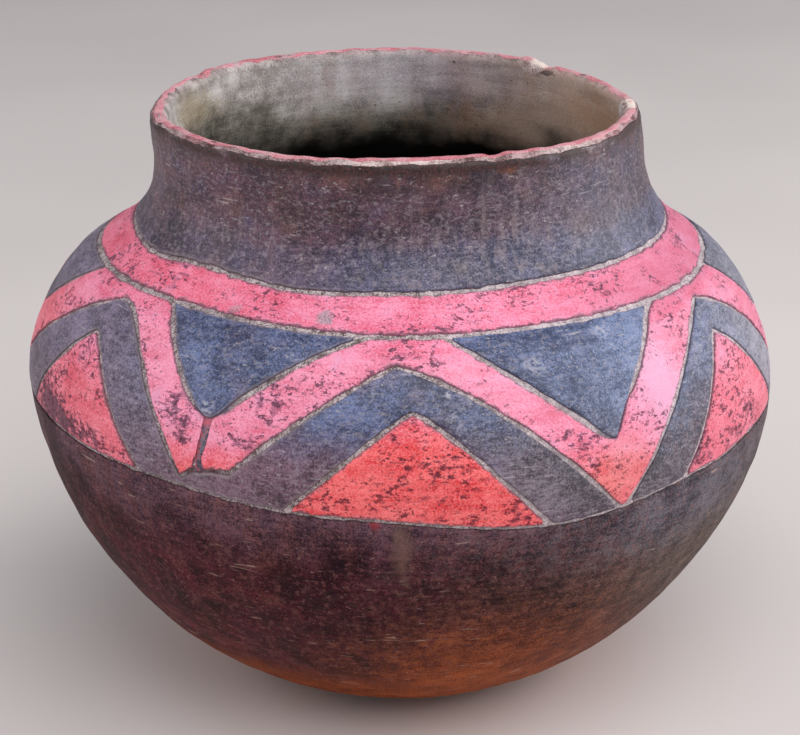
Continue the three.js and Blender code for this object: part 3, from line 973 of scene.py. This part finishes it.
# Graphite of the lower body: purple-black, duller and scuffed, and rubbed through to orange at the foot.
# Its upper part and a blue-grey cloud on the right carry painted sheen, and an olive-grey cloud lower on
# the right is partly stain and partly painted sheen.
body_finish, body_shader, here = new_finish("graphite_slip_body")
height = part_of(here, 2)
spot = spots_on(here)
edge = attribute(here, "edge")
cloud, blotch, rubbing, fine, light = rubbed(here)
hue = grain(here, 0.035, 4, roughness=0.6)
tinge = grain(here, 0.0024, 3, roughness=0.6)
speck = grain(here, 0.0010, 2, stretch=(2, 2, 1))
scratch = grain(here, 0.0013, 2, stretch=(11, 11, 1))
streak = grain(here, 0.0060, 3, stretch=(1, 1, 5))

flecks = between(speck, 0.67, 0.72) * between(blotch, 0.40, 0.58)
foot_fade = height + (cloud - 0.5) * 0.04 + (rubbing - 0.5) * 0.02 + (fine - 0.5) * 0.01
bare_foot = between(foot_fade, 0.054, 0.025)
bare_foot = bare_foot.most(spot(19, 0.043, 0.052, 0.036, 0.9) * 0.80)
# Painted sheen: the upper part of the lower body is painted greyer and lighter
upper_sheen = between(height + (cloud - 0.5) * 0.06, 0.098, 0.140)
colour = layered(blended(light, (24, 0, 7), (90, 30, 42)), [
    (between(hue, 0.50, 0.66), 0.45, blended(light, (56, 16, 8), (128, 64, 44))),
    (upper_sheen, 0.62, blended(light, (52, 34, 50), (128, 102, 116))),
    (between(cloud, 0.48, 0.36), 0.55, blended(light, (16, 1, 10), (60, 28, 44))),
    (between(streak, 0.52, 0.66), 0.4, blended(light, (62, 26, 26), (136, 84, 78))),
    (spot(-38, 0.080, 0.050, 0.034, 0.9), 0.3, blended(light, (50, 14, 20), (124, 62, 72))),
    (spot(0, 0.085, 0.050, 0.030, 0.9), 0.45, blended(light, (16, 0, 6), (60, 22, 32))),
    # On the right: an olive-grey cloud, partly stain and partly painted sheen, and a blue-grey cloud of
    # painted sheen
    (spot(58, 0.096, 0.085, 0.056, 0.9), 0.75, blended(light, (52, 44, 40), (120, 110, 102))),
    (spot(50, 0.126, 0.066, 0.018, 0.9), 0.65, blended(light, (46, 46, 60), (120, 120, 134))),
    (between(tinge, 0.53, 0.66), 0.38, (128, 84, 80)),
    (between(tinge, 0.46, 0.35), 0.35, (30, 12, 18)),
    (bare_foot, 0.92, blended(light, (96, 30, 2), (180, 90, 30))),
    (flecks, 0.45, (178, 152, 144)),
    (between(scratch, 0.68, 0.73) * between(cloud, 0.42, 0.58), 0.65, (180, 154, 140)),
    # Painted shadow, partly wear: the coat darkens along its edge at the line
    (between(edge + (fine - 0.5) * 0.0012, 0.0006, 0.0001), 0.4, (46, 34, 36)),
    (spot(0.2, 0.124, 0.0036, 0.013, 0.7), 0.4, (134, 104, 92)),
    (spot(-3.5, 0.1362, 0.0020, 0.0016, 0.9), 0.45, (170, 50, 54)),
])
feed(body_shader, {
    "Base Color": colour,
    "Roughness": 0.48 + 0.2 * blotch + 0.2 * flecks,
    "Normal": bumpy(fine * 0.6 + blotch * 0.8 + rubbing * 0.5, 0.45, 0.0005),
    "Specular IOR Level": 0.10,
})

turn_columns = 1000
neck_columns = 760
ring_azimuth = np.linspace(0, 360, turn_columns, endpoint=False)
neck_azimuth = np.linspace(0, 360, neck_columns, endpoint=False)
coat_foot = 0.016
belly_edge = beside(belly_path, ring_azimuth, -1, belly_groove_width)
foot_edge = up_outside(coat_foot) + 0 * ring_azimuth
coat = lay_slip("lower_body_graphite", ring_azimuth, foot_edge, belly_edge, True, body_finish, seed=11)
dress(coat, "lower_body_graphite_coat", "graphite_slip")

# The neck's coat runs a little way on to the lip, and its upper edge wavers
neck_overlap = 0.0025
neck_waver = 0.0004
neck_around = np.radians(neck_azimuth)
neck_low = beside(neck_path, neck_azimuth, 1, neck_groove_width)
neck_high = lip_start + neck_overlap + neck_waver * wander(neck_around, 3, 40, 5)
coat = lay_slip("neck_graphite", neck_azimuth, neck_low, neck_high, True, shoulder_finish, seed=13)
dress(coat, "neck_graphite_coat", "graphite_slip")

column_angle = 360 / turn_columns
blunt_end = 0.0014


def field_azimuths(low_of, high_of, start, end):
    """The azimuths of a field that lies between two others, from one of its thin ends to the other."""
    azimuth = np.linspace(start, end, int((end - start) / column_angle))
    tall = np.flatnonzero(high_of(azimuth) - low_of(azimuth) > blunt_end)
    return azimuth[tall[0]:tall[-1] + 1]


# Edges of the fields, half a groove away from the lines
def above_belly(azimuth):
    return beside(belly_path, azimuth, 1, belly_groove_width)


def below_collar(azimuth):
    return beside(collar_path, azimuth, -1, collar_groove_width)


def upper_floor(azimuth):
    return beside(zigzag_upper_line, azimuth, 1, upper_line_width(azimuth))


def lower_floor(azimuth):
    return np.maximum(above_belly(azimuth), beside(triangle_line, azimuth, 1, thin_groove_width))


def lower_ceiling(azimuth):
    return beside(zigzag_lower_line, azimuth, -1, thin_groove_width)


def lay_panel(kind, bay, low_of, high_of, starts, ends, finish, slot, first_seed):
    """The panel of one kind in one bay, between a lower and an upper edge."""
    azimuth = field_azimuths(low_of, high_of, starts[bay], ends[bay])
    edges = low_of(azimuth), high_of(azimuth)
    panel = lay_slip(f"{kind}_{bay + 1}", azimuth, *edges, False, finish, seed=first_seed + bay)
    dress(panel, f"{kind}_panel_{bay + 1}", slot)


upper_field = (upper_floor, below_collar, peaks, peaks_after)
lower_field = (lower_floor, lower_ceiling, valleys_before, valleys)
for bay in range(bay_count):
    lay_panel("upper_graphite", bay, *upper_field, shoulder_finish, "graphite_slip", 100)
    lay_panel("lower_graphite", bay, *lower_field, shoulder_finish, "graphite_slip", 200)

# Ochre coats: a slip of red ochre, brushed on the collar, the zigzag, the triangles and the top of the lip.
# It is softer than the graphite, so it is worn in clusters of dark pits and thin scrapes.
# The coats are laid like the graphite, up to the same incised lines.

# Spots of stone and worn places: azimuth, level, half width, half height and how much
stone_spots = ((-13.7, 0.2089, 0.0034, 0.0022, 0.75), (-30.8, 0.2084, 0.0028, 0.0014, 0.5))
worn_places = (
    (-65, 0.1520, 0.0170, 0.0100, 0.50), (-57, 0.1490, 0.0160, 0.0060, 0.45),
    (-49, 0.1490, 0.0090, 0.0040, 0.30), (-48, 0.1700, 0.0040, 0.0040, 0.34),
    (-34.3, 0.1745, 0.0040, 0.0060, 0.40), (-31.6, 0.1655, 0.0030, 0.0080, 0.38),
    (-43.5, 0.1905, 0.0050, 0.0040, 0.16), (-70, 0.2120, 0.0090, 0.0050, 0.18),
    (-19, 0.1790, 0.0070, 0.0080, 0.20), (-21.5, 0.1655, 0.0085, 0.0042, 0.32),
    (-11, 0.1900, 0.0070, 0.0040, 0.16), (2.5, 0.1993, 0.0080, 0.0025, 0.20),
    (6.1, 0.1627, 0.0050, 0.0040, 0.20), (17.5, 0.1420, 0.0070, 0.0070, 0.32),
    (27, 0.1600, 0.0080, 0.0060, 0.16), (46, 0.1473, 0.0090, 0.0060, 0.34),
    (62, 0.1525, 0.0080, 0.0050, 0.32), (56, 0.1462, 0.0090, 0.0045, 0.32),
    (49.7, 0.1985, 0.0050, 0.0050, 0.18), (14, 0.1860, 0.0260, 0.0120, -0.17),
    (41, 0.1790, 0.0120, 0.0160, -0.10),
)


def new_ochre(name, red_from, red_to, wear):
    """Ochre that turns from pink to orange-red between two levels, and is worn more or less."""
    finish, shader, here = new_finish(name)
    height = part_of(here, 2)
    side = part_of(here, 0)
    spot = spots_on(here)
    edge = attribute(here, "edge")
    cloud = grain(here, 0.04, 5, roughness=0.6)
    blotch = grain(here, 0.012, 5, roughness=0.65)
    fine = grain(here, 0.0008, 3, roughness=0.7)
    stroke = grain(here, 0.0020, 3, stretch=(8, 8, 1.2))
    flake = grain(here, 0.0021, 4, stretch=(1.7, 1.7, 1), roughness=0.65)
    dot = grain(here, 0.0011, 2, stretch=(1.5, 1.5, 1))
    scrape = grain(here, 0.0013, 2, stretch=(9, 9, 1))
    cluster = grain(here, 0.015, 4, stretch=(1.6, 1.6, 1), roughness=0.6)
    mottle = grain(here, 0.0042, 4, stretch=(1, 1, 1.8), roughness=0.7) * 0.4 + flake * 0.6

    # Pink above and orange-red below, with coral on the left of the collar. The change with height is
    # partly the ochre's own and partly painted light: pinker where the shoulder faces the sky, warmer lower
    # down where the floor throws light back.
    light = between(cloud * 0.14 + blotch * 0.22 + stroke * 0.18 + fine * 0.46, 0.38, 0.60)
    coral_share = between(side + (blotch - 0.5) * 0.06, -0.02, -0.09) * between(height, 0.200, 0.206)
    pink = layered(blended(light, (218, 84, 114), (252, 158, 190)), [
        (coral_share, 0.7, blended(light, (212, 62, 90), (250, 134, 160))),
    ])
    low = between(height + (blotch - 0.5) * 0.02, red_from, red_to)
    low = low * (1 - 0.5 * between(side, 0.07, 0.13))
    low = low * (1 - 0.4 * between(side, -0.08, -0.12))
    low = low.most(between(side, -0.130, -0.160) * 0.6)

    # Wear: clusters of flakes, dots and scrapes, thickest in the worn places
    rubbed_off = 0
    for *place, amount in worn_places:
        rubbed_off = rubbed_off + spot(*place, 0.9) * amount
    crowded = cluster + wear + rubbed_off
    smudge = between(crowded + (blotch - 0.5) * 0.4, 0.56, 0.72)
    mottled = between(mottle + rubbed_off * rubbed_off * 0.35, 0.48, 0.55)
    flakes = between(flake, 0.55, 0.585) * between(crowded, 0.50, 0.58)
    dots = between(dot, 0.62, 0.66) * between(crowded, 0.40, 0.54)
    scrapes = between(scrape, 0.64, 0.70) * between(crowded, 0.44, 0.56)
    dusty_edge = between(edge + (flake - 0.5) * 0.006 + (blotch - 0.5) * 0.004, 0.0016, 0.0002)
    # Along its edge the coat is darkened: partly wear, partly painted shadow at the lines
    worn_and_shaded_edge = between(edge + (fine - 0.5) * 0.0014 + (flake - 0.5) * 0.006, 0.0010, 0.0001)
    split_edge = spot(*split[:2], 0.0048, 0.0140, 0.4) * between(edge, 0.0016, 0.0004)
    wear_and_edge_shade = flakes.most(dots * 0.85).most(scrapes * 0.6).most(worn_and_shaded_edge * 0.7)
    pit_tone = between(fine, 0.4, 0.6)
    worn_mauve = blended(pit_tone, (58, 24, 46), (118, 72, 98))
    worn_maroon = blended(pit_tone, (66, 10, 28), (124, 42, 58))
    stone_colour = blended(pit_tone, (126, 120, 132), (178, 172, 178))
    lip_colour = layered(blended(light, (176, 88, 100), (224, 152, 162)), [
        (between(blotch * 0.6 + fine * 0.4, 0.46, 0.58), 0.5, (206, 174, 180)),
    ])

    colour = layered(blended(low, pink, blended(light, (214, 34, 44), (255, 126, 128))), [
        (between(height, 0.201, 0.197) * (1 - low), 0.12, (250, 196, 222)),
        (spot(31.5, 0.150, 0.014, 0.012, 0.9), 0.3, (232, 164, 158)),
        # Painted highlight: a lilac-white patch on the far right arm
        (spot(41, 0.179, 0.012, 0.020, 0.9), 0.6, (234, 188, 222)),
        (between(side, 0.05, 0.11) * between(height, 0.198, 0.206), 0.5, (200, 104, 134)),
        (between(side, 0.05, 0.12), 0.14, (170, 92, 112)),
        (between(blotch, 0.52, 0.68) * between(cloud, 0.42, 0.58) * (1 - low), 0.35, (206, 156, 190)),
        (smudge * mottled, 0.42 + rubbed_off, blended(low, (128, 66, 100), (124, 40, 60))),
        (between(rubbed_off, 0.20, 0.45) * mottled, 0.5, (96, 70, 86)),
        (dusty_edge, 0.5, (162, 132, 146)),
        (split_edge, 0.6, (150, 62, 70)),
        (wear_and_edge_shade, 0.85, blended(low, worn_mauve, worn_maroon)),
        (between(height, 0.255, 0.259), 1, lip_colour),
        *[(spot(*patch, 0.3), 1, (226, 210, 200)) for patch in rim_patches],
        *[(spot(*place, 0.35), amount, stone_colour) for *place, amount in stone_spots],
    ])
    feed(shader, {
        "Base Color": colour,
        "Roughness": 0.42 + 0.2 * blotch + 0.2 * wear_and_edge_shade,
        "Normal": bumpy(fine * 0.5 + blotch * 0.7 + stroke * 0.5 - wear_and_edge_shade * 0.6, 0.45, 0.0005),
        "Specular IOR Level": 0.32,
    })
    return finish


ochre_finish = new_ochre("red_ochre_slip_pink", 0.171, 0.147, 0.0)
triangle_finish = new_ochre("red_ochre_slip_red", 0.192, 0.166, 0.05)


def zigzag_floor(azimuth):
    floor = np.maximum(above_belly(azimuth), beside(zigzag_lower_line, azimuth, 1, thin_groove_width))
    left_end = np.interp(azimuth - 360, left_end_stops, left_end_floors, left=0)
    right_end = np.interp(azimuth, right_end_stops, right_end_floors, right=0)
    return np.maximum(floor, up_outside(np.maximum(left_end, right_end)))


def zigzag_ceiling(azimuth):
    under_line = beside(zigzag_upper_line, azimuth, -1, upper_line_width(azimuth))
    ceiling = np.minimum(below_collar(azimuth), under_line)
    right_end = np.interp(azimuth, right_end_stops, right_end_ceilings, right=jar_height)
    return np.minimum(ceiling, up_outside(right_end))


def triangle_ceiling(azimuth):
    return beside(triangle_line, azimuth, -1, thin_groove_width)


collar_low = beside(collar_path, ring_azimuth, 1, collar_groove_width)
collar_high = beside(neck_path, ring_azimuth, -1, neck_groove_width)
coat = lay_slip("collar_ochre", ring_azimuth, collar_low, collar_high, True, ochre_finish, seed=17)
dress(coat, "collar_ochre_band", "red_ochre_slip")

# The band starts and ends at the worn-through tip, with its columns closer together there
band_crowding = 0.54
even_share = np.linspace(0, 1, turn_columns)
band_share = even_share - band_crowding * np.sin(2 * math.pi * even_share) / (2 * math.pi)
band_start = right_end_stops[0]
band_azimuth = band_start + band_share * (360 + left_end_stops[-1] - band_start)
band_edges = zigzag_floor(band_azimuth), zigzag_ceiling(band_azimuth)
coat = lay_slip("zigzag_ochre", band_azimuth, *band_edges, False, ochre_finish, seed=19)
dress(coat, "zigzag_ochre_band", "red_ochre_slip")

triangle_field = (above_belly, triangle_ceiling, valleys_before, valleys)
for bay in range(bay_count):
    lay_panel("triangle_ochre", bay, *triangle_field, triangle_finish, "red_ochre_slip", 300)

# The lip's coat lies on the crest, and both its edges waver
lip_outer_reach = 0.0020
lip_outer_waver = 0.0006
lip_inner_reach = 0.0024
lip_inner_waver = 0.0010
lip_low = top_of_path - lip_outer_reach + lip_outer_waver * wander(neck_around, 3, 60, 23)
lip_high = top_of_path + lip_inner_reach + lip_inner_waver * wander(neck_around, 3, 60, 29)
coat = lay_slip("lip_ochre", neck_azimuth, lip_low, lip_high, True, ochre_finish, lip_coat_depth, seed=21)
dress(coat, "lip_ochre_coat", "red_ochre_slip")

# Grit in the lines: the tool that cut the lines tore grains of temper out of the clay.
# They are sharp grains of crushed stone, half sunk in the floor of each line.
grain_tree, inlet = new_tree("line_grit", {
    "Grains per area": "NodeSocketFloat", "Smallest grain": "NodeSocketFloat",
    "Largest grain": "NodeSocketFloat", "Seed": "NodeSocketInt", "Finish": "NodeSocketMaterial",
})
floor_strip = inlet["Start"]
grains = floor_strip.node("GeometryNodeDistributePointsOnFaces", {}, {
    "Mesh": floor_strip, "Density": inlet["Grains per area"], "Seed": inlet["Seed"],
})
stone = floor_strip.node("GeometryNodeMeshIcoSphere", {}, {"Radius": 1, "Subdivisions": 1})
size = floor_strip.node("FunctionNodeRandomValue", {"data_type": "FLOAT"}, {
    2: inlet["Smallest grain"], 3: inlet["Largest grain"], "Seed": inlet["Seed"],
}, output=1)
squash = floor_strip.node("FunctionNodeRandomValue", {"data_type": "FLOAT_VECTOR"}, {
    0: (0.7, 0.7, 0.4), 1: (1.3, 1.3, 0.8), "Seed": inlet["Seed"],
})
scale = floor_strip.node("ShaderNodeVectorMath", {"operation": "SCALE"}, {0: squash, "Scale": size})
tumbled = floor_strip.node("FunctionNodeRandomValue", {"data_type": "FLOAT_VECTOR"}, {
    0: (0, 0, 0), 1: (6.3, 6.3, 6.3), "Seed": inlet["Seed"],
})
scattered = floor_strip.node("GeometryNodeInstanceOnPoints", {}, {
    "Points": grains, "Instance": stone, "Rotation": tumbled, "Scale": scale,
})
close_tree(scattered, inlet["Finish"])

strip_half = 0.75
strip_points = []
strip_faces = []


def add_strip(line, azimuth, is_ring, width=groove_width):
    """The floor of one incised line, to be strewn with grit."""
    around = np.radians(azimuth)
    sides = []
    for side in (-strip_half, strip_half):
        radius, level = section_spot(beside(line, azimuth, side, width), groove_depth)
        sides.append(np.stack((radius * np.sin(around), -radius * np.cos(around), level), 1))
    first = len(strip_points)
    count = len(azimuth)
    strip_points.extend(np.concatenate(sides).tolist())
    for step in range(count if is_ring else count - 1):
        after = (step + 1) % count
        strip_faces.append((first + step, first + after, first + count + after, first + count + step))


for line in (belly_path, collar_path, neck_path):
    add_strip(line, ring_azimuth, True)
add_strip(zigzag_lower_line, ring_azimuth, True, thin_groove_width)
for bay in range(bay_count):
    azimuth = field_azimuths(*upper_field[:2], peaks[bay], peaks_after[bay])
    add_strip(zigzag_upper_line, azimuth, False)
    azimuth = field_azimuths(*triangle_field[:2], valleys_before[bay], valleys[bay])
    add_strip(triangle_line, azimuth, False, thin_groove_width)
start = bpy.data.meshes.new("line_floors")
start.from_pydata(strip_points, [], strip_faces)
line_grit = grow("line_grit", start, grain_tree, {
    "Grains per area": 240000.0, "Smallest grain": 0.00015, "Largest grain": 0.00042, "Seed": 8,
    "Finish": clay_finish,
})
settle(line_grit, sharp_angle=20)
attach(line_grit, "root")

# Studio: a pale floor under an even sky.
# A broad soft lamp stands at the front right, another shines from the right and a weak one from the left.
floor_finish, floor_shader, here = new_finish("pale_floor")
floor_cloud = grain(here, 0.4, 2)
feed(floor_shader, {
    "Base Color": blended(between(floor_cloud, 0.3, 0.7), (214, 206, 204), (220, 212, 210)),
    "Roughness": 0.9,
})
floor_half = 8
floor_corners = [(floor_half * x, floor_half * y, 0) for x, y in ((-1, -1), (1, -1), (1, 1), (-1, 1))]
floor_mesh = bpy.data.meshes.new("floor")
floor_mesh.from_pydata(floor_corners, [], [(0, 1, 2, 3)])
floor_mesh.materials.append(floor_finish)
floor = bpy.data.objects.new("floor", floor_mesh)
bpy.context.scene.collection.objects.link(floor)


lamp_target = Vector((0, 0, 0.15))


def add_lamp(name, place, size, power):
    """A square soft lamp that looks at the middle of the jar."""
    lamp = bpy.data.lights.new(name, "AREA")
    lamp.size = size
    lamp.energy = power
    holder = bpy.data.objects.new(name, lamp)
    way = lamp_target - Vector(place)
    holder.matrix_world = Matrix.Translation(place) @ way.to_track_quat("-Z", "Y").to_matrix().to_4x4()
    bpy.context.scene.collection.objects.link(holder)


add_lamp("broad_lamp", (0.5, -1.3, 2.0), 2.0, 36)
add_lamp("window_lamp", (1.9, 0.2, 1.0), 1.6, 24)
add_lamp("side_lamp", (-1.8, -0.4, 1.0), 1.4, 10)
sky = bpy.data.worlds.new("even_sky")
sky.use_nodes = True
feed(sky.node_tree.nodes["Background"], {"Color": (0.86, 0.87, 0.9, 1), "Strength": 0.42})
bpy.context.scene.world = sky
bpy.context.scene.view_settings.view_transform = "Standard"

# Camera: where the photograph was taken from, a metre in front of the jar and a little above its mouth.
# It looks down on the shoulder and sees the far inside of the neck.
camera = bpy.data.cameras.new("camera")
camera.sensor_width = 36
camera.lens = 101.57
camera_holder = bpy.data.objects.new("camera", camera)
camera_place = Matrix.Translation((-0.0006, -0.990, 0.504))
look_down = Matrix.Rotation(math.radians(90 - 20.13), 4, "X")
roll = Matrix.Rotation(math.radians(0.18), 4, "Z")
camera_holder.matrix_world = camera_place @ look_down @ roll
bpy.context.scene.collection.objects.link(camera_holder)
bpy.context.scene.camera = camera_holder
